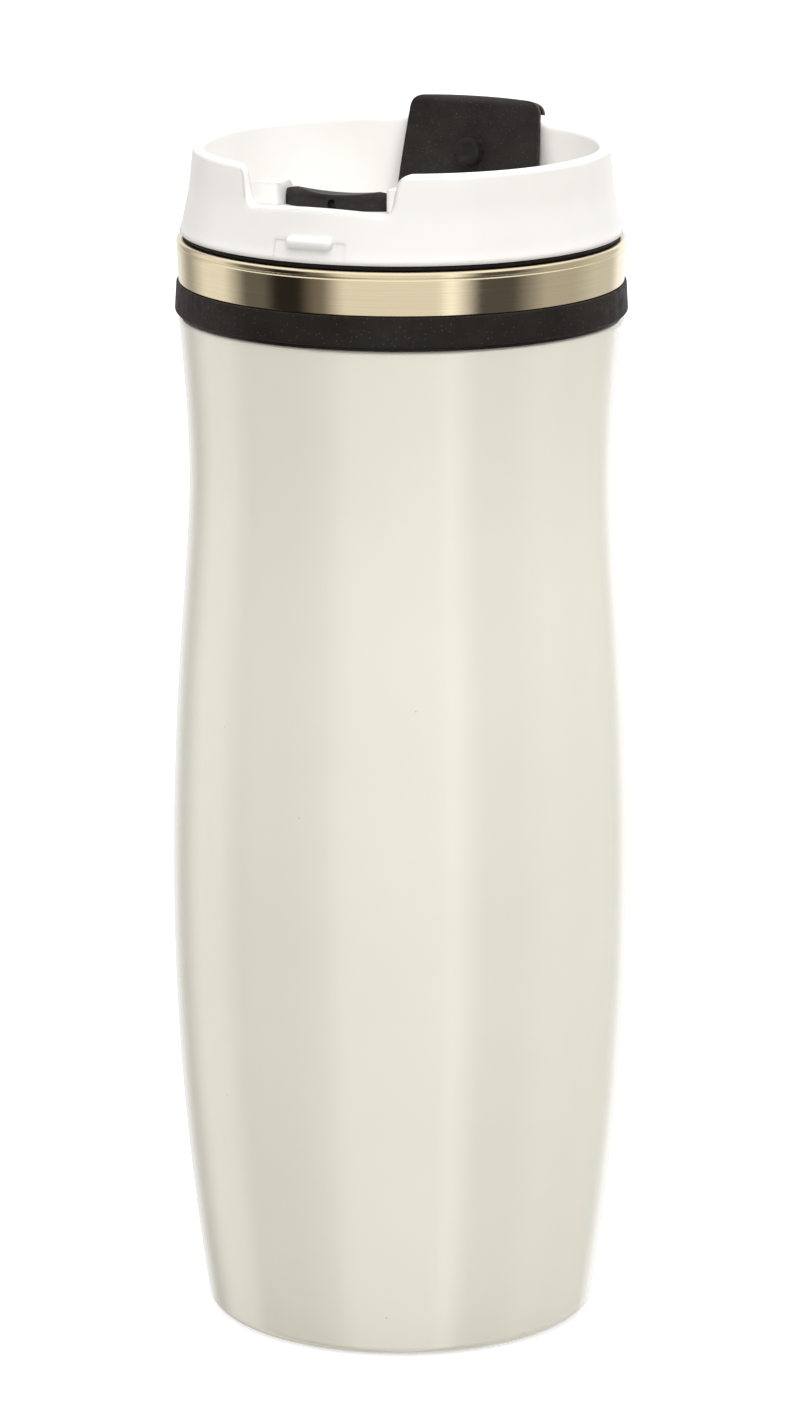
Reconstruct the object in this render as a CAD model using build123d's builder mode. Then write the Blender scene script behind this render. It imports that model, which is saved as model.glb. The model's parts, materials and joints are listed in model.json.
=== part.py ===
from build123d import *
from math import cos, radians, sin
import os

# Insulated travel mug with a screw lid and a flip flap, in millimetres.
# Origin: middle of the foot ring, +Z up, the drinking notch faces -Y.

os.makedirs("parts", exist_ok=True)

# Driving dimensions of the mug
foot_r = 30.5             # inner edge of the foot ring
corner = 2.0              # rounding from the wall into the foot
shell_top = 176.0         # top edge of the painted shell
shoulder_z = 175.2        # where the shell's wall turns in to its top edge
shell_wall = 1.5
shell_outline = [(34.0, corner), (35.5, 12.7), (37.5, 30.4), (39.1, 52.4), (39.66, 74), (39.3, 97),
                 (38.24, 117), (37.0, 134), (36.4, 147), (36.95, 163.5), (37.95, shoulder_z)]
cap_z = 0.8               # the base cap stands this far above the ground
liner_wall = 0.6
liner_floor = 9.1         # underside of the liner
mouth_r = 35.6            # inside radius of the liner's mouth
band_bottom, band_top = 181.85, 189.3
band_wall = 0.55          # sheet thickness of the band's top
ring_bottom = 176.6       # lower edge of the rubber ring
gap = 0.05                # clearance between pieces that are pressed or glued together

# Driving dimensions of the lid
lid_bottom, lid_top = 190.2, 205.0
plug_r = 34.1             # outside of the threaded plug
plug_bottom = 174.5
deck_top, deck_under = 185.2, 183.2
pitch = 5.0               # rise for each turn of the lid
thread_turns = 1.25
thread_start = 177.5      # lowest point of the lid's thread
thread_flank = (1.7, 0.9) # width of the thread at its root and at its crest
notch_half = 14.25        # half width of the drinking notch at the rim
notch_draft = 9.0         # degrees, each side
notch_floor = 197.9

# Driving dimensions of the flap
hinge_y, hinge_z = 27.4, 187.5
lean = 13.8               # degrees, how far the open flap leans back
flap_face = 1.6           # front face to the hinge axis
flap_thick = 1.2
flap_length = 22.0
curl_r = 1.6
knuckle_half = 7.8
ear_width = 2.2
pin_r = 0.8
plug_reach = 11.9         # hinge axis to the middle of the stopper
inlet_r = 3.0             # hole in the deck that the stopper closes
inlet_y = hinge_y - plug_reach
ear_r = 2.4
pin_length = 2 * (knuckle_half + 0.2 + ear_width)
cover_z = 177.0           # underside of the lid's inner cover


def ring(*corners):
    """Solid of revolution about Z from a closed outline of (radius, height) points."""
    with BuildPart() as turned:
        with BuildSketch(Plane.XZ):
            with BuildLine():
                Polyline(*corners, close=True)
            make_face()
        revolve(axis=Axis.Z)
    return turned.part


def thread(radius, start, root, crest):
    """Helical rib whose root and crest are offsets from the given radius."""
    with BuildPart() as rib:
        with BuildLine() as path:
            Helix(pitch, pitch * thread_turns, radius, center=(0, 0, start))
        with BuildSketch(Plane(path.line @ 0, x_dir=(1, 0, 0), z_dir=path.line % 0)):
            with BuildLine():
                Polyline(
                    (root, -thread_flank[0] / 2), (crest, -thread_flank[1] / 2),
                    (crest, thread_flank[1] / 2), (root, thread_flank[0] / 2), close=True,
                )
            make_face()
        sweep(is_frenet=True)
    return rib.part


# Painted shell: one continuous wall from the foot ring to the neck
with BuildPart() as outer_shell:
    with BuildSketch(Plane.XZ):
        with BuildLine():
            inner_wall = [(r - shell_wall, z) for r, z in shell_outline[1:]]
            wall = Spline(*shell_outline)
            RadiusArc((foot_r + 1.5, 0), wall @ 0, -corner)
            Line((foot_r + 1.5, 0), (foot_r, 0))
            Line((foot_r, 0), (foot_r, 1.8))
            Line((foot_r, 1.8), (32.5, 1.8))
            inside = Spline((32.5, 1.8), *inner_wall)
            Line(inside @ 1, (inside @ 1 + (0, shell_top - shoulder_z)))
            Line(inside @ 1 + (0, shell_top - shoulder_z), (wall @ 1) + (-0.8, shell_top - shoulder_z))
            RadiusArc((wall @ 1) + (-0.8, shell_top - shoulder_z), wall @ 1, 0.8)
        make_face()
    revolve(axis=Axis.Z)
outer_shell.part.label = "outer_shell"

# Base cap: a dished disc that closes the shell from inside
with BuildPart() as base_cap:
    add(ring(
        (0, cap_z + 0.7), (22, cap_z + 0.7), (23.5, cap_z), (foot_r - gap, cap_z), (foot_r - gap, 1.8 + gap),
        (32.0, 1.8 + gap), (32.0, 3.2), (0, 3.2),
    ))
base_cap.part.label = "base_cap"

# Insulating pad between the base cap and the liner
with BuildPart() as insulation_pad:
    with BuildSketch(Plane.XY.offset(3.2 + gap)):
        Circle(22)
    extrude(amount=liner_floor - 3.2 - 2 * gap)
    fillet(insulation_pad.edges(), 0.8)
insulation_pad.part.label = "insulation_pad"

# Steel liner: tapered cup, flared neck, rolled inward thread and rounded lip
with BuildPart() as inner_liner:
    with BuildSketch(Plane.XZ):
        with BuildLine():
            floor_in = liner_floor + liner_wall
            lip = band_top - 0.4
            Line((0, liner_floor), (26, liner_floor))
            outer_corner = TangentArc((26, liner_floor), (30.1, 13.5), tangent=(1, 0))
            Line(outer_corner @ 1, (33.2, 165))
            Bezier((33.2, 165), (33.2, 170), (mouth_r + liner_wall, 169), (mouth_r + liner_wall, 174))
            Line((mouth_r + liner_wall, 174), (mouth_r + liner_wall, lip))
            ThreePointArc(
                (mouth_r + liner_wall, lip), (mouth_r + liner_wall / 2, lip + liner_wall / 2), (mouth_r, lip)
            )
            Line((mouth_r, lip), (mouth_r, 174))
            Bezier((mouth_r, 174), (mouth_r, 169.5), (32.6, 170.5), (32.6, 165))
            Line((32.6, 165), (29.5, 13.6))
            TangentArc((26, floor_in), (29.5, 13.6), tangent=(1, 0))
            Line((26, floor_in), (0, floor_in))
            Line((0, floor_in), (0, liner_floor))
        make_face()
    revolve(axis=Axis.Z)
    add(thread(mouth_r, thread_start + pitch / 2, 0.3, -0.9))
inner_liner.part.label = "inner_liner"

# Plastic neck ring that joins the shell to the liner
with BuildPart() as neck_ring:
    neck_in = mouth_r + liner_wall + gap
    add(ring(
        (neck_in, shell_top + gap), (37.7, shell_top + gap), (37.7, ring_bottom - gap), (37.3, ring_bottom - gap),
        (37.3, band_top - band_wall - gap), (neck_in, band_top - band_wall - gap),
    ))
neck_ring.part.label = "neck_ring"

# Black rubber trim ring under the steel band
with BuildPart() as rubber_ring:
    with BuildSketch(Plane.XZ) as rubber_section:
        with BuildLine():
            Polyline((37.35, ring_bottom), (38.62, ring_bottom), (38.32, 181.8), (37.35, 181.8), close=True)
        make_face()
        fillet(rubber_section.vertices().group_by(Axis.X)[-1], 0.55)
        fillet(rubber_section.vertices().sort_by(Axis.Y)[-1], 0.3)
    revolve(axis=Axis.Z)
rubber_ring.part.label = "rubber_ring"

# Brushed steel band: a cap of sheet over the neck ring, with a fine groove under its rolled top edge
with BuildPart() as steel_band:
    with BuildSketch(Plane.XZ) as band_section:
        with BuildLine():
            Polyline(
                (37.35, band_bottom), (37.95, band_bottom), (38.22, 187.8), (38.05, 187.95), (38.05, 188.1),
                (38.28, 188.25), (38.28, band_top), (36.3, band_top), (36.3, band_top - band_wall),
                (37.35, band_top - band_wall), close=True,
            )
        make_face()
        fillet(band_section.vertices().group_by(Axis.Y)[-1].sort_by(Axis.X)[-1], 0.8)
        fillet(band_section.vertices().group_by(Axis.Y)[-1].sort_by(Axis.X)[0], 0.25)
        fillet(band_section.vertices().group_by(Axis.Y)[0].sort_by(Axis.X)[-1], 0.25)
    revolve(axis=Axis.Z)
steel_band.part.label = "steel_band"

# Flat silicone gasket under the lid's flange
with BuildPart() as lid_gasket:
    add(ring((34.4, band_top + gap), (37.2, band_top + gap), (37.2, lid_bottom - gap), (34.4, lid_bottom - gap)))
    fillet(lid_gasket.edges(), 0.25)
lid_gasket.part.label = "lid_gasket"

# Spout block: the raised white cheeks behind the notch, blended onto the deck
cheek_half = 17.2
cheek_top = 201.5
shelf_z = 197.6
ramp_half = 9.8
ramp_front_r = 17.5       # plan radius of the ramp's front face
ramp_centre_y = -10.5
with BuildPart() as spout_block:
    with BuildSketch(Plane.YZ):
        with BuildLine():
            Polyline(
                (-35, 184), (-35, shelf_z), (-27.6, shelf_z), (-27.6, cheek_top), (-23.5, cheek_top),
                (-7, 187.0), (-5, 184.2), (-5, 184), close=True,
            )
        make_face()
    extrude(amount=cheek_half, both=True)
    shoulders = spout_block.edges().filter_by(
        lambda e: abs(abs(e.center().X) - cheek_half) < 0.01 and e.center().Z > 190 and e.center().Y > -30
    )
    fillet(shoulders.filter_by(lambda e: e.center().Z > 200 or e.center().Y > -20), 4.5)
    with BuildSketch(Plane.XY.offset(180)):
        Circle(34.2)
    extrude(amount=30, mode=Mode.INTERSECT)
    with BuildSketch(Plane.XY.offset(deck_top - 1)):
        with Locations((0, ramp_centre_y)):
            Circle(ramp_front_r + gap)
        Rectangle(2 * (ramp_half + gap), 80, mode=Mode.INTERSECT)
    extrude(amount=30, mode=Mode.SUBTRACT)
    with BuildSketch(Plane.XY.offset(shelf_z)):
        with Locations((0, -25)):
            Rectangle(2 * (ramp_half + gap), 20)
    extrude(amount=30, mode=Mode.SUBTRACT)

# Skin of the shallow panel on the skirt, and the lens-shaped nub that sits on it
skirt = [(37.75, lid_bottom + 0.25), (37.42, 191.3), (36.9, 193.7), (36.1, 197.6), (35.66, 201.7), (35.42, 203.9)]
panel_angle = 9.9
panel_depth = 0.12
with BuildPart() as skirt_panel:
    side = Vector(1, 0, 0).rotate(Axis.Z, -90 - panel_angle)
    with BuildSketch(Plane(origin=(0, 0, 0), x_dir=side, z_dir=side.cross(Vector(0, 0, 1)))):
        with BuildLine():
            face_line = Polyline(*[(r - panel_depth, z) for r, z in skirt[:3]])
            Polyline(face_line @ 1, (39, skirt[2][1]), (39, lid_bottom - 1), (37.6, lid_bottom - 1), face_line @ 0)
        make_face()
    revolve(axis=Axis.Z, revolution_arc=2 * panel_angle)
with BuildPart() as nub:
    with BuildSketch(Plane.XZ.offset(35.8)):
        with Locations((0, 193.4)):
            SlotOverall(8.2, 1.9)
    extrude(amount=1.95)
    fillet(nub.faces().sort_by(Axis.Y)[0].edges(), 0.85)

# Lid: skirt, rounded rim, recessed deck and threaded plug in one moulding
rim_in = (33.5, 203.9)
with BuildPart() as lid_body:
    with BuildSketch(Plane.XZ):
        with BuildLine():
            Polyline((32.5, plug_bottom), (33.7, plug_bottom), (plug_r, plug_bottom + 0.6), (plug_r, lid_bottom),
                     (37.6, lid_bottom), skirt[0])
            Spline(*skirt)
            ThreePointArc(skirt[-1], ((skirt[-1][0] + rim_in[0]) / 2, lid_top), rim_in)
            Polyline(rim_in, (32.8, 191.0), (31.9, 187.4))
            TangentArc((30.0, deck_top), (31.9, 187.4), tangent=(1, 0))
            Polyline((30.0, deck_top), (0, deck_top), (0, deck_under), (31.5, deck_under),
                     (32.5, deck_under - 1.5), (32.5, plug_bottom))
        make_face()
    revolve(axis=Axis.Z)
    add(spout_block.part)

    # hinge ears at the back of the deck
    for side in (-1, 1):
        with BuildSketch(Plane.YZ.offset(side * (knuckle_half + 0.2))):
            with BuildLine():
                Polyline((hinge_y - ear_r, hinge_z), (hinge_y - ear_r, deck_top - 0.5),
                         (hinge_y + ear_r + 0.6, deck_top - 0.5), (hinge_y + ear_r, hinge_z))
                ThreePointArc((hinge_y + ear_r, hinge_z), (hinge_y, hinge_z + ear_r), (hinge_y - ear_r, hinge_z))
            make_face()
        extrude(amount=side * ear_width)

    # drinking notch with drafted sides, rounded corners and a slightly crowned floor
    low_half = notch_half - (lid_top - notch_floor) * sin(radians(notch_draft))
    with BuildSketch(Plane.XZ.offset(28)) as notch_section:
        with BuildLine():
            floor_line = ThreePointArc(
                (-low_half, notch_floor), (0, notch_floor + 0.9), (low_half, notch_floor)
            )
            Polyline(floor_line @ 1, (notch_half, lid_top), (notch_half + 6, lid_top), (notch_half + 6, lid_top + 3),
                     (-notch_half - 6, lid_top + 3), (-notch_half - 6, lid_top), (-notch_half, lid_top),
                     floor_line @ 0)
        make_face()
        fillet(notch_section.vertices().group_by(Axis.Y)[0], 2.0)
        fillet(notch_section.vertices().filter_by(lambda v: abs(abs(v.X) - notch_half) < 0.01), 2.2)
    extrude(amount=17, mode=Mode.SUBTRACT)

    # shallow panel on the skirt under the notch, with a soft lens-shaped nub
    add(skirt_panel.part, mode=Mode.SUBTRACT)
    add(nub.part)

    # pin hole through both ears, and the sip inlet in the deck
    with Locations(Location((0, hinge_y, hinge_z), (0, 90, 0))):
        Cylinder(pin_r + 0.02, pin_length + 1, mode=Mode.SUBTRACT)
    with Locations((0, inlet_y, deck_under)):
        Cylinder(inlet_r, 8, mode=Mode.SUBTRACT)
    add(thread(plug_r, thread_start, -0.4, 0.95))
lid_body.part.label = "lid_body"

# Inner cover that closes the hollow plug from below, with a tube up to the sip inlet
with BuildPart() as lid_inner_cover:
    with BuildSketch(Plane.XY.offset(cover_z)):
        Circle(32.5 - gap)
    extrude(amount=1.2)
    fillet(lid_inner_cover.faces().sort_by(Axis.Z)[0].edges(), 0.4)
    with BuildSketch(Plane.XY.offset(cover_z)):
        with Locations((0, inlet_y)):
            Circle(inlet_r + 1.4)
    extrude(amount=deck_under - gap - cover_z)
    with Locations((0, inlet_y, cover_z)):
        Cylinder(inlet_r + 0.2, 20, mode=Mode.SUBTRACT)
lid_inner_cover.part.label = "lid_inner_cover"

# Black sip ramp between the cheeks: hollow wedge with a rounded, saddle-shaped front lip
lip_top = 200.85
saddle = 0.75
saddle_r = (8.2 ** 2 + saddle ** 2) / (2 * saddle)
with BuildPart() as sip_ramp:
    with BuildSketch(Plane.YZ):
        with BuildLine():
            Polyline((-28.5, deck_top + gap), (-28.5, lip_top), (-25.2, lip_top), (-7.4, 186.6),
                     (-6.2, deck_top + gap), close=True)
        make_face()
    extrude(amount=ramp_half, both=True)
    with BuildSketch(Plane.XY.offset(180)):
        with Locations((0, ramp_centre_y)):
            Circle(ramp_front_r)
    extrude(amount=30, mode=Mode.INTERSECT)
    front_edge = sip_ramp.edges().filter_by(lambda e: e.center().Z > lip_top - 0.01 and e.center().Y < -26)
    fillet(front_edge, 1.8)
    with Locations(Location((0, -20, lip_top - saddle + saddle_r), (90, 0, 0))):
        Cylinder(saddle_r, 40, mode=Mode.SUBTRACT)
    with BuildSketch(Plane.YZ):
        with BuildLine():
            Polyline((-23.5, deck_top), (-23.5, 197.0), (-11.0, deck_top + 1.5), (-11.0, deck_top), close=True)
        make_face()
    extrude(amount=ramp_half - 1.6, both=True, mode=Mode.SUBTRACT)
    with Locations(Location((0, -26, 198.6), (90, 0, 0))):
        Cylinder(0.8, 8, mode=Mode.SUBTRACT)
sip_ramp.part.label = "sip_ramp"

# Flip flap: wide plate, forward-facing front, rolled top edge and a narrow hinge knuckle
lean_plane = Plane(
    origin=(0, hinge_y, hinge_z), x_dir=(0, cos(radians(lean)), -sin(radians(lean))), z_dir=(1, 0, 0)
)
back_face = flap_thick - flap_face
curl_s = flap_length - curl_r
crown_top = flap_length - 0.1   # just under the roll's top, so the cut crosses it cleanly
crown_end = flap_length - 0.65
with BuildPart() as flip_flap:
    with BuildSketch(lean_plane):
        with BuildLine():
            Line((-flap_face, 3.2), (-flap_face, curl_s))
            ThreePointArc((-flap_face, curl_s), (curl_r - flap_face, flap_length), (2 * curl_r - flap_face, curl_s))
            Polyline((2 * curl_r - flap_face, curl_s), (2 * curl_r - flap_face, curl_s - 1.0),
                     (2 * curl_r - flap_face - 1.2, curl_s - 1.0), (2 * curl_r - flap_face - 1.2, curl_s))
            ThreePointArc((2 * curl_r - flap_face - 1.2, curl_s), (curl_r - flap_face, flap_length - 1.2),
                          (back_face, curl_s))
            Polyline((back_face, curl_s), (back_face, 3.2), (-flap_face, 3.2))
        make_face()
    extrude(amount=13.2, both=True)
    plan = Plane(origin=lean_plane.origin, x_dir=(1, 0, 0), z_dir=-lean_plane.x_dir)
    with BuildSketch(plan.offset(-10)) as outline:
        with BuildLine():
            Line((-13.0, 3.2), (-13.0, 6.5))
            left_side = Polyline((-13.0, 6.5), (-12.75, 11), (-12.0, crown_end))
            top_edge = ThreePointArc(left_side @ 1, (0, crown_top), (12.0, crown_end))
            Polyline(top_edge @ 1, (12.75, 11), (13.0, 6.5), (13.0, 3.2), (-13.0, 3.2))
        make_face()
        fillet(outline.vertices().group_by(Axis.Y)[0], 1.6)
        fillet(outline.vertices().group_by(Axis.Y)[-1], 2.6)
    extrude(amount=20, mode=Mode.INTERSECT)
    with BuildSketch(lean_plane):
        Circle(2.0)
        with Locations(((back_face - flap_face) / 2, 2.3)):
            Rectangle(flap_thick, 4.6)
    extrude(amount=knuckle_half, both=True)
    with Locations(Location((0, hinge_y, hinge_z), (0, 90, 0))):
        Cylinder(pin_r + 0.06, 40, mode=Mode.SUBTRACT)
flip_flap.part.label = "flip_flap"

# Silicone stopper on the flap's front face: a soft cone that drops into the inlet
with BuildPart() as flap_plug:
    with BuildSketch(plan.offset(flap_face + gap)):
        with Locations((0, plug_reach)):
            Circle(2.6)
    extrude(amount=1.9, taper=9)
    fillet(flap_plug.edges().filter_by(GeomType.CIRCLE).sort_by(Axis.Y)[0], 0.4)
flap_plug.part.label = "flap_plug"

# Steel pin through the ears and the knuckle
with BuildPart() as hinge_pin:
    with Locations(Location((0, hinge_y, hinge_z), (0, 90, 0))):
        Cylinder(pin_r, pin_length)
    chamfer(hinge_pin.edges().filter_by(GeomType.CIRCLE), 0.2)
hinge_pin.part.label = "hinge_pin"

for piece in (outer_shell, base_cap, insulation_pad, inner_liner, neck_ring, rubber_ring, steel_band,
              lid_gasket, lid_body, lid_inner_cover, sip_ramp, flip_flap, flap_plug, hinge_pin):
    export_step(piece.part, f"parts/{piece.part.label}.step")
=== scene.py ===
import json
from math import cos, pi, radians, sin, tan
import bpy
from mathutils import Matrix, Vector


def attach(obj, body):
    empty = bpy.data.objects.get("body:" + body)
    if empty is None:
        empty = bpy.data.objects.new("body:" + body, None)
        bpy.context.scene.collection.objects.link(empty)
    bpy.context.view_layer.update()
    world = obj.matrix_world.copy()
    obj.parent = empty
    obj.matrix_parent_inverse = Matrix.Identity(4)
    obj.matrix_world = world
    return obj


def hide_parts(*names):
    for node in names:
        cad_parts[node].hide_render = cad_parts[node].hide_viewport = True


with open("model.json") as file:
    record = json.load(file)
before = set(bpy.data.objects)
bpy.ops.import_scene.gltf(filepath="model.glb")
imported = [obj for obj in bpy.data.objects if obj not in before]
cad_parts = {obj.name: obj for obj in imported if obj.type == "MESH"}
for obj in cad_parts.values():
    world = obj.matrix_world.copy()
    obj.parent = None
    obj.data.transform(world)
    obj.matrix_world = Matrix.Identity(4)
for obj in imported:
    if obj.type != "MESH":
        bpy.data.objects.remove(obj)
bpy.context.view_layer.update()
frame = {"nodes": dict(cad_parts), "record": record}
nodes = frame["nodes"]
mm = 0.001


def clearSelection():
    if bpy.context.object and bpy.context.object.mode != "OBJECT":
        bpy.ops.object.mode_set(mode="OBJECT")
    bpy.ops.object.select_all(action="DESELECT")


def workOn(piece):
    clearSelection()
    piece.select_set(True)
    bpy.context.view_layer.objects.active = piece


def roundCorners(corners, steps=5):   # closed outline of (across, up, radius) in mm, each corner rounded
    out, count = [], len(corners)
    for i in range(count):
        p = Vector(corners[i][:2])
        before, after = Vector(corners[i - 1][:2]) - p, Vector(corners[(i + 1) % count][:2]) - p
        radius = corners[i][2] if len(corners[i]) > 2 else 0
        if radius <= 0:
            out.append(tuple(p))
            continue
        run = radius / tan(before.angle(after) / 2)
        a, b = p + before.normalized() * run, p + after.normalized() * run
        for k in range(steps + 1):
            t = k / steps
            out.append(tuple(a * (1 - t) ** 2 + p * 2 * t * (1 - t) + b * t * t))
    return out


def drawOutline(name, outline, place):   # a closed wire of (across, up) points, place turns each into x, y, z
    clearSelection()
    bpy.ops.mesh.primitive_plane_add(size=0.001)
    piece = bpy.context.object
    piece.name = name
    bpy.ops.object.mode_set(mode="EDIT")
    bpy.ops.mesh.merge(type="CENTER")
    spots = [Vector(place(*p)) * mm for p in outline]
    bpy.ops.transform.translate(value=spots[0])
    for here, there in zip(spots, spots[1:] + spots[:1]):
        bpy.ops.mesh.extrude_vertices_move(TRANSFORM_OT_translate={"value": there - here})
    bpy.ops.mesh.select_all(action="SELECT")
    bpy.ops.mesh.remove_doubles(threshold=1e-7)
    bpy.ops.mesh.select_all(action="SELECT")
    return piece


def turnPiece(name, outline, steps=192):   # a ring turned about the mug's axis from its (r, z) section
    piece = drawOutline(name, outline, lambda r, z: (r, 0, z))
    bpy.ops.mesh.spin(steps=steps, angle=2 * pi, center=(0, 0, 0), axis=(0, 0, 1))
    closeUp()
    smoothOver(piece, 50)
    applyTool(piece, "WEIGHTED_NORMAL", keep_sharp=True)   # long faces stay true up to their rounded corners
    return piece


def extrudePiece(name, outline, place, pull):   # a prism: the outline filled and pulled along a vector in mm
    piece = drawOutline(name, outline, place)
    bpy.ops.mesh.edge_face_add()
    bpy.ops.mesh.extrude_region_move(TRANSFORM_OT_translate={"value": Vector(pull) * mm})
    closeUp()
    return piece


def closeUp():
    bpy.ops.mesh.select_all(action="SELECT")
    bpy.ops.mesh.remove_doubles(threshold=1e-6)
    bpy.ops.mesh.select_all(action="SELECT")
    bpy.ops.mesh.normals_make_consistent(inside=False)
    bpy.ops.object.mode_set(mode="OBJECT")


def smoothOver(piece, angle):
    workOn(piece)
    bpy.ops.object.shade_smooth_by_angle(angle=radians(angle))


def applyTool(piece, kind, **settings):
    workOn(piece)
    tool = piece.modifiers.new(kind.lower(), kind)
    for name, value in settings.items():
        setattr(tool, name, value)
    bpy.ops.object.modifier_apply(modifier=tool.name)


def combine(piece, other, way):   # boolean with another piece, which is used up
    applyTool(piece, "BOOLEAN", object=other, operation=way, solver="EXACT")
    workOn(other)
    bpy.ops.object.delete()


def softenEdges(piece, width):
    applyTool(piece, "BEVEL", width=width * mm, segments=3, limit_method="ANGLE", angle_limit=radians(35))


def placeOnHinge(piece):   # leans a piece modelled upright about the hinge line and moves it there
    workOn(piece)
    bpy.ops.transform.rotate(value=radians(flapMake["lean"]), orient_axis="X", center_override=(0, 0, 0))
    bpy.ops.transform.translate(value=(0, flapMake["hinge"][0] * mm, flapMake["hinge"][1] * mm))
    bpy.ops.object.transform_apply(location=True, rotation=True, scale=True)


def newFinish(name, colour, roughness, **shader):
    finish = bpy.data.materials.new(name)
    finish.use_nodes = True
    base = finish.node_tree.nodes["Principled BSDF"]
    base.inputs["Base Color"].default_value = (*colour, 1)
    base.inputs["Roughness"].default_value = roughness
    for socket, value in shader.items():
        base.inputs[socket.replace("_", " ")].default_value = value
    return finish, finish.node_tree, base


def grain(tree, scale, stretch=(1, 1, 1), detail=4.0, rough=0.6):
    spot = tree.nodes.new("ShaderNodeTexCoord")
    turn = tree.nodes.new("ShaderNodeMapping")
    turn.inputs["Scale"].default_value = stretch
    noise = tree.nodes.new("ShaderNodeTexNoise")
    noise.inputs["Scale"].default_value = scale
    noise.inputs["Detail"].default_value = detail
    noise.inputs["Roughness"].default_value = rough
    tree.links.new(spot.outputs["Object"], turn.inputs["Vector"])
    tree.links.new(turn.outputs["Vector"], noise.inputs["Vector"])
    return noise.outputs["Fac"]


def specks(tree, size, share):   # scattered dots: 1 on a dot, 0 elsewhere
    spot = tree.nodes.new("ShaderNodeTexCoord")
    cells = tree.nodes.new("ShaderNodeTexVoronoi")
    cells.inputs["Scale"].default_value = 1 / (size * mm)
    level = tree.nodes.new("ShaderNodeMapRange")
    level.inputs["From Min"].default_value = share
    level.inputs["From Max"].default_value = share * 0.4
    tree.links.new(spot.outputs["Object"], cells.inputs["Vector"])
    tree.links.new(cells.outputs["Distance"], level.inputs["Value"])
    return level.outputs["Result"]


def tint(tree, base, source, low, high, span=(0.35, 0.65)):
    ramp = tree.nodes.new("ShaderNodeValToRGB")
    ramp.color_ramp.elements[0].position, ramp.color_ramp.elements[1].position = span
    ramp.color_ramp.elements[0].color = (*low, 1)
    ramp.color_ramp.elements[1].color = (*high, 1)
    tree.links.new(source, ramp.inputs["Fac"])
    tree.links.new(ramp.outputs["Color"], base.inputs["Base Color"])
    return ramp


def overlay(tree, base, mask, colour):   # lays a second colour over the first where the mask is 1
    first = base.inputs["Base Color"].links[0].from_socket
    blend = tree.nodes.new("ShaderNodeMix")
    blend.data_type = "RGBA"
    blend.inputs[7].default_value = (*colour, 1)
    tree.links.new(mask, blend.inputs[0])
    tree.links.new(first, blend.inputs[6])
    tree.links.new(blend.outputs[2], base.inputs["Base Color"])


def shine(tree, base, source, low, high):
    span = tree.nodes.new("ShaderNodeMapRange")
    span.inputs["From Min"].default_value = 0.3
    span.inputs["From Max"].default_value = 0.7
    span.inputs["To Min"].default_value = low
    span.inputs["To Max"].default_value = high
    tree.links.new(source, span.inputs["Value"])
    tree.links.new(span.outputs["Result"], base.inputs["Roughness"])


def relief(tree, base, source, strength, height):
    bump = tree.nodes.new("ShaderNodeBump")
    bump.inputs["Strength"].default_value = strength
    bump.inputs["Distance"].default_value = height * mm
    tree.links.new(source, bump.inputs["Height"])
    if base.inputs["Normal"].is_linked:
        tree.links.new(base.inputs["Normal"].links[0].from_socket, bump.inputs["Normal"])
    tree.links.new(bump.outputs["Normal"], base.inputs["Normal"])


def roundShade(tree, base, radius):   # moulded edges catch the light as if rounded
    edge = tree.nodes.new("ShaderNodeBevel")
    edge.samples = 6
    edge.inputs["Radius"].default_value = radius * mm
    tree.links.new(edge.outputs["Normal"], base.inputs["Normal"])


lacquerLook = {"light": (0.850, 0.832, 0.728), "deep": (0.822, 0.802, 0.698), "dust": (0.52, 0.49, 0.41),
               "gloss": (0.12, 0.16), "peel": 0.03}


def creamLacquer():
    finish, tree, base = newFinish("creamLacquer", lacquerLook["light"], 0.15, Coat_Weight=1.0,
                                   Coat_Roughness=0.03, Coat_IOR=1.6)
    tint(tree, base, grain(tree, 18, detail=3), lacquerLook["deep"], lacquerLook["light"])
    overlay(tree, base, specks(tree, 9.0, 0.02), lacquerLook["dust"])   # a few dust specks under the lacquer
    shine(tree, base, grain(tree, 40, detail=1), *lacquerLook["gloss"])
    relief(tree, base, grain(tree, 420, detail=2), lacquerLook["peel"], 0.1)   # orange peel
    return finish


mouldedLook = {"light": (0.885, 0.875, 0.855), "deep": (0.855, 0.843, 0.815), "gloss": (0.31, 0.35),
               "edge": 1.3}


def mouldedWhite():
    finish, tree, base = newFinish("mouldedWhite", mouldedLook["light"], 0.3, Subsurface_Weight=0.12,
                                   Subsurface_Radius=(1.0, 0.9, 0.8), Subsurface_Scale=0.002)
    roundShade(tree, base, mouldedLook["edge"])
    tint(tree, base, grain(tree, 35, detail=3), mouldedLook["deep"], mouldedLook["light"])
    shine(tree, base, grain(tree, 90, detail=1), *mouldedLook["gloss"])
    relief(tree, base, grain(tree, 1300, detail=2), 0.12, 0.05)
    return finish


steelLooks = {   # across is how fine the brushing is
    "steel_band": {"name": "champagneSteel", "light": (0.88, 0.775, 0.55), "deep": (0.78, 0.68, 0.47),
                   "gloss": 0.085, "across": 5200},
    "steel_liner": {"name": "linerSteel", "light": (0.62, 0.61, 0.59), "deep": (0.50, 0.49, 0.47),
                    "gloss": 0.30, "across": 2600},
    "steel_pin": {"name": "pinSteel", "light": (0.60, 0.60, 0.60), "deep": (0.45, 0.45, 0.45),
                  "gloss": 0.25, "across": 2600},
}


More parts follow.
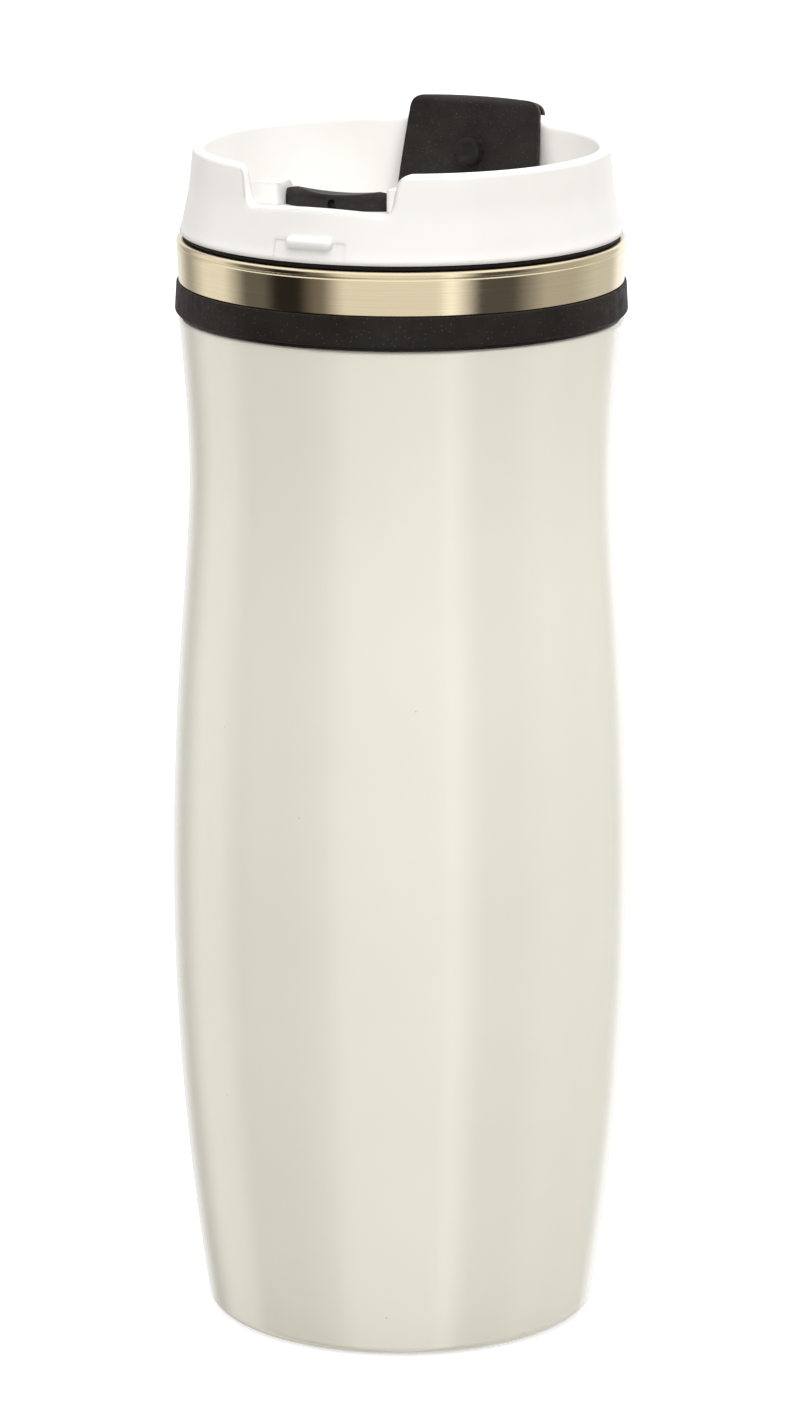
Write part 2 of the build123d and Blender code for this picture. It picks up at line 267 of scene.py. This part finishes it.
def brushedSteel(look):   # streaks run round the axis
    gloss, across = look["gloss"], look["across"]
    finish, tree, base = newFinish(look["name"], look["light"], gloss, Metallic=1.0)
    roundShade(tree, base, 0.15)
    streaks = grain(tree, 1, stretch=(30, 30, across), detail=6, rough=0.75)
    tint(tree, base, streaks, look["deep"], look["light"], (0.3, 0.7))
    shine(tree, base, grain(tree, 1, stretch=(55, 55, across * 0.6)), gloss * 0.6, gloss * 1.6)
    relief(tree, base, streaks, 0.3, 0.015)
    relief(tree, base, grain(tree, 60, detail=2), 0.06, 0.12)   # slight waviness of rolled sheet
    return finish


plasticLook = {"deep": (0.008, 0.0062, 0.0052), "light": (0.015, 0.012, 0.010), "dust": (0.075, 0.068, 0.06),
               "edge": 0.35, "texture": 1900}


def blackPlastic():
    finish, tree, base = newFinish("blackPlastic", plasticLook["deep"], 0.45, Specular_IOR_Level=0.3)
    roundShade(tree, base, plasticLook["edge"])
    tint(tree, base, grain(tree, 160, detail=5, rough=0.7), plasticLook["deep"], plasticLook["light"])
    overlay(tree, base, specks(tree, 0.55, 0.16), plasticLook["dust"])
    shine(tree, base, grain(tree, 700), 0.38, 0.56)
    relief(tree, base, grain(tree, plasticLook["texture"], rough=0.7), 0.45, 0.06)
    return finish


rubberLook = {"deep": (0.011, 0.008, 0.0065), "light": (0.020, 0.015, 0.0125), "lint": (0.085, 0.075, 0.065)}


def blackRubber():
    finish, tree, base = newFinish("blackRubber", rubberLook["deep"], 0.62, Specular_IOR_Level=0.22)
    tint(tree, base, grain(tree, 90, detail=6, rough=0.7), rubberLook["deep"], rubberLook["light"])
    overlay(tree, base, specks(tree, 0.7, 0.17), rubberLook["lint"])
    shine(tree, base, grain(tree, 500), 0.5, 0.7)
    relief(tree, base, grain(tree, 1500, rough=0.7), 0.4, 0.05)
    return finish


def softSilicone():
    finish, tree, base = newFinish("softSilicone", (0.012, 0.010, 0.009), 0.6, Specular_IOR_Level=0.2)
    tint(tree, base, grain(tree, 600), (0.009, 0.008, 0.007), (0.017, 0.015, 0.013))
    shine(tree, base, grain(tree, 900), 0.52, 0.68)
    relief(tree, base, grain(tree, 1100, detail=3), 0.2, 0.04)
    return finish


def paleFoam():
    finish, tree, base = newFinish("paleFoam", (0.7, 0.69, 0.64), 0.9)
    tint(tree, base, grain(tree, 900, detail=6), (0.55, 0.54, 0.5), (0.8, 0.79, 0.74))
    relief(tree, base, grain(tree, 900, detail=6), 0.8, 0.5)
    return finish


finishes = {   # one for each material slot of the record
    "shell_paint": creamLacquer(), "lid_white": mouldedWhite(), "black_rubber": blackRubber(),
    "black_plastic": blackPlastic(), "silicone": softSilicone(), "foam": paleFoam(),
}
for slotName, look in steelLooks.items():
    finishes[slotName] = brushedSteel(look)
print("finishes mixed:", len(finishes))


def dress(piece, slotName):
    piece.data.materials.clear()
    piece.data.materials.append(finishes[slotName])


for part in frame["record"]["subparts"]:   # every CAD node wears its own slot's finish
    dress(nodes[part["node"]], part["material_slot"])


def fit(piece, slotName, body, *standsFor):
    dress(piece, slotName)
    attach(piece, body)
    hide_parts(*standsFor)


bandMake = {   # (r, z, corner radius) in mm
    "steel": [(37.35, 181.85), (37.95, 181.85, 0.25), (38.22, 187.8, 0.1), (38.05, 187.95), (38.05, 188.1),
              (38.28, 188.3, 0.12), (38.28, 189.3, 0.8), (36.3, 189.3, 0.2), (36.3, 188.75), (37.35, 188.75)],
    "rubber": [(37.35, 176.6), (38.62, 176.6, 0.6), (38.32, 181.8, 0.3), (37.35, 181.8)],
    "gasket": [(34.4, 189.35, 0.2), (37.2, 189.35, 0.3), (37.2, 190.15, 0.3), (34.4, 190.15, 0.2)],
}


def neckPieces():
    fit(turnPiece("steelBand", roundCorners(bandMake["steel"], 6)), "steel_band", "mug", "steel_band")
    fit(turnPiece("rubberRing", roundCorners(bandMake["rubber"], 8)), "black_rubber", "mug", "rubber_ring")
    fit(turnPiece("lidGasket", roundCorners(bandMake["gasket"], 6)), "silicone", "gasket", "lid_gasket")
    print("neck ring pieces turned")


flapMake = {   # mm, modelled upright on its hinge line; face is how far the front stands before that line
    "hinge": (27.4, 187.5), "lean": 13.8, "face": 1.6, "thick": 1.2, "length": 22.0, "curl": 1.6, "hook": 1.0,
    "halfWidth": (13.0, 12.75, 12.0), "foot": 3.2, "waist": (6.5, 11.0), "crown": (0.1, 0.65),
    "corners": (1.6, 2.6), "blank": (27.0, 18.0), "knuckle": (7.8, 2.0), "neck": (1.2, 4.6),
    "plugReach": 11.9, "plug": (2.6, 1.9), "edge": 0.3}


def arcPoints(centre, radius, start, end, steps):
    return [(centre[0] + radius * cos(radians(start + (end - start) * k / steps)),
             centre[1] + radius * sin(radians(start + (end - start) * k / steps))) for k in range(steps + 1)]


def flapPlate():
    make = flapMake
    face, curl, rise = make["face"], make["curl"], make["length"] - make["curl"]
    middle = curl - face
    section = [(-face, make["foot"])] + arcPoints((middle, rise), curl, 180, 0, 16)
    section += [(middle + curl, rise - make["hook"]), (middle + curl - make["thick"], rise - make["hook"])]
    section += arcPoints((middle, rise), curl - make["thick"], 0, 180, 8)
    section += [(make["thick"] - face, make["foot"])]
    wide, deep = make["blank"]
    plate = extrudePiece("flapPlate", section, lambda back, up: (-wide / 2, back, up), (wide, 0, 0))
    low, half, high = make["halfWidth"]
    top, side = make["length"] - make["crown"][0], make["length"] - make["crown"][1]
    crown = [(high * (1 - k / 5), side + (top - side) * (1 - (1 - k / 5) ** 2)) for k in range(1, 10)]
    right = [(low, make["foot"], make["corners"][0]), (low, make["waist"][0]), (half, make["waist"][1]),
             (high, side, make["corners"][1])]
    shape = roundCorners(right + crown + [(-p[0], *p[1:]) for p in reversed(right)], 8)
    outline = extrudePiece("flapOutline", shape, lambda x, up: (x, -deep / 2, up), (0, deep, 0))
    combine(plate, outline, "INTERSECT")
    reach, turn = make["knuckle"]
    back, (neckLow, neckHigh) = make["thick"] - face, make["neck"]
    neck = arcPoints((0, 0), turn, 168, 372, 16)
    neck += [(back, turn), (back, neckHigh), (-face, neckHigh), (-face, neckLow)]
    knuckle = extrudePiece("flapKnuckle", neck, lambda across, up: (-reach, across, up), (2 * reach, 0, 0))
    combine(plate, knuckle, "UNION")
    softenEdges(plate, make["edge"])
    placeOnHinge(plate)
    smoothOver(plate, 40)
    fit(plate, "black_plastic", "flap", "flip_flap")


def flapPlug():
    radius, tall = flapMake["plug"]
    outline = [(0, 0), (radius, 0), (radius - 0.3, tall, 0.5), (radius - 1.0, tall, 0.2),
               (0.9, tall - 0.25), (0, tall - 0.3)]   # the tip is dished
    plug = drawOutline("flapPlug", roundCorners(outline, 5), lambda r, z: (r, 0, z))
    bpy.ops.mesh.spin(steps=64, angle=2 * pi, center=(0, 0, 0), axis=(0, 0, 1))
    closeUp()
    smoothOver(plug, 50)
    workOn(plug)
    bpy.ops.transform.rotate(value=radians(-90), orient_axis="X", center_override=(0, 0, 0))
    bpy.ops.transform.translate(value=(0, -flapMake["face"] * mm, flapMake["plugReach"] * mm))
    bpy.ops.object.transform_apply(location=True, rotation=True, scale=True)
    placeOnHinge(plug)
    fit(plug, "silicone", "flap", "flap_plug")


neckPieces()
flapPlate()
flapPlug()
print("flap and plug shaped")

studio = {   # turn and down in degrees, distance and eye in metres, roofEdge in sine of the height angle
    "turn": 24.4, "distance": 1.038956, "eye": 0.360342, "down": 13.7146, "lens": 157.44, "sensor": 36,
    "slide": -0.00106, "floorSize": 6.0, "paperGlow": 0.7,
    "tent": 0.95, "roof": 1.15, "roofEdge": (0.35, 0.65),
    "topPower": 9.5, "topPlace": (0.18, -0.12, 1.15), "topAim": (0, 0, 0.1), "topSize": (1.0, 1.0)}


def paleFloor():
    clearSelection()
    bpy.ops.mesh.primitive_plane_add(size=studio["floorSize"], location=(0, 0, -0.0002))
    floor = bpy.context.object
    floor.name = "paleFloor"
    floor.visible_glossy = False   # the mug mirrors the tent, not the table
    finish, tree, base = newFinish("floorPaper", (0.62, 0.61, 0.59), 0.9, Specular_IOR_Level=0.0)
    base.inputs["Emission Color"].default_value = (1, 1, 1, 1)
    ray = tree.nodes.new("ShaderNodeLightPath")   # the glow is only seen, it lights nothing
    glow = tree.nodes.new("ShaderNodeMath")
    glow.operation = "MULTIPLY"
    glow.inputs[1].default_value = studio["paperGlow"]
    tree.links.new(ray.outputs["Is Camera Ray"], glow.inputs[0])
    tree.links.new(glow.outputs[0], base.inputs["Emission Strength"])
    floor.data.materials.append(finish)


tentPanels = {   # edges in degrees round from the camera, and colour; neighbours fade into each other
    "backLeft": (-180, -160, (0.95, 0.95, 0.93)),
    "paperRoll": (-144, -138, (0.46, 0.44, 0.42)),
    "leftWhite": (-122, -104, (0.96, 0.95, 0.93)),
    "leftFrame": (-88, -76, (0.15, 0.14, 0.13)),
    "leftBlackCard": (-68, -54, (0.025, 0.022, 0.020)),
    "leftHalfTone": (-45, -41, (0.20, 0.18, 0.16)),
    "frontWhite": (-30, 19, (0.90, 0.88, 0.86)),
    "stripLight": (24, 27, (1.25, 1.25, 1.25)),
    "rightBlackCard": (41, 60, (0.10, 0.09, 0.09)),
    "rightGrey": (80, 100, (0.52, 0.50, 0.47)),
    "rightWhite": (118, 138, (0.70, 0.69, 0.67)),
    "window": (150, 168, (1.20, 1.20, 1.20)),
    "backRight": (176, 180, (0.95, 0.95, 0.93))}


def lightTent():
    world = bpy.data.worlds.new("lightTent")
    bpy.context.scene.world = world
    world.use_nodes = True
    tree = world.node_tree
    seen, plain = tree.nodes["Background"], tree.nodes.new("ShaderNodeBackground")
    out = tree.nodes["World Output"]
    spot = tree.nodes.new("ShaderNodeTexCoord")
    split = tree.nodes.new("ShaderNodeSeparateXYZ")
    tree.links.new(spot.outputs["Generated"], split.inputs["Vector"])
    around = tree.nodes.new("ShaderNodeMath")
    around.operation = "ARCTAN2"
    tree.links.new(split.outputs["Y"], around.inputs[0])
    tree.links.new(split.outputs["X"], around.inputs[1])
    turn = tree.nodes.new("ShaderNodeMath")
    turn.operation = "MULTIPLY_ADD"
    turn.inputs[1].default_value = 1 / (2 * pi)
    turn.inputs[2].default_value = 1.5 + (90 - studio["turn"]) / 360
    tree.links.new(around.outputs[0], turn.inputs[0])
    wrap = tree.nodes.new("ShaderNodeMath")
    wrap.operation = "FRACT"
    tree.links.new(turn.outputs[0], wrap.inputs[0])
    ramp = tree.nodes.new("ShaderNodeValToRGB")
    edges = [(angle, colour) for start, end, colour in tentPanels.values() for angle in (start, end)]
    while len(ramp.color_ramp.elements) < len(edges):
        ramp.color_ramp.elements.new(0.5)
    for element, (angle, colour) in zip(ramp.color_ramp.elements, edges):
        element.position = (angle + 180) / 360
        element.color = (*colour, 1)
    tree.links.new(wrap.outputs[0], ramp.inputs["Fac"])
    tree.links.new(ramp.outputs["Color"], seen.inputs["Color"])
    seen.inputs["Strength"].default_value = studio["tent"]
    roof = tree.nodes.new("ShaderNodeBackground")
    roof.inputs["Color"].default_value = (1, 1, 1, 1)
    roof.inputs["Strength"].default_value = studio["roof"]
    lift = tree.nodes.new("ShaderNodeMapRange")
    lift.inputs["From Min"].default_value, lift.inputs["From Max"].default_value = studio["roofEdge"]
    tree.links.new(split.outputs["Z"], lift.inputs["Value"])
    over = tree.nodes.new("ShaderNodeMixShader")
    tree.links.new(lift.outputs["Result"], over.inputs[0])
    tree.links.new(seen.outputs[0], over.inputs[1])
    tree.links.new(roof.outputs[0], over.inputs[2])
    ray = tree.nodes.new("ShaderNodeLightPath")
    final = tree.nodes.new("ShaderNodeMixShader")
    plain.inputs["Color"].default_value = (1, 1, 1, 1)
    tree.links.new(ray.outputs["Is Camera Ray"], final.inputs[0])
    tree.links.new(over.outputs[0], final.inputs[1])
    tree.links.new(plain.outputs[0], final.inputs[2])
    tree.links.new(final.outputs[0], out.inputs["Surface"])


def topPanel():
    place = studio["topPlace"]
    clearSelection()
    bpy.ops.object.light_add(type="AREA", location=place)
    lamp = bpy.context.object
    lamp.name = "topPanel"
    lamp.data.shape = "RECTANGLE"
    lamp.data.size, lamp.data.size_y = studio["topSize"]
    lamp.data.energy = studio["topPower"]
    lamp.rotation_euler = (Vector(studio["topAim"]) - Vector(place)).to_track_quat("-Z", "Y").to_euler()
    lamp.visible_glossy = False   # it lights the mug and leaves no square in its gloss


def photographer():
    a, d = radians(studio["turn"]), studio["distance"]
    bpy.ops.object.camera_add(location=(sin(a) * d, -cos(a) * d, studio["eye"]),
                              rotation=(radians(90 - studio["down"]), 0, a))
    camera = bpy.context.object
    camera.data.lens = studio["lens"]
    camera.data.sensor_width = studio["sensor"]
    camera.data.shift_x = studio["slide"]
    bpy.context.scene.camera = camera


paleFloor()
lightTent()
topPanel()
photographer()
bpy.context.scene.view_settings.view_transform = "Standard"
print("studio set")
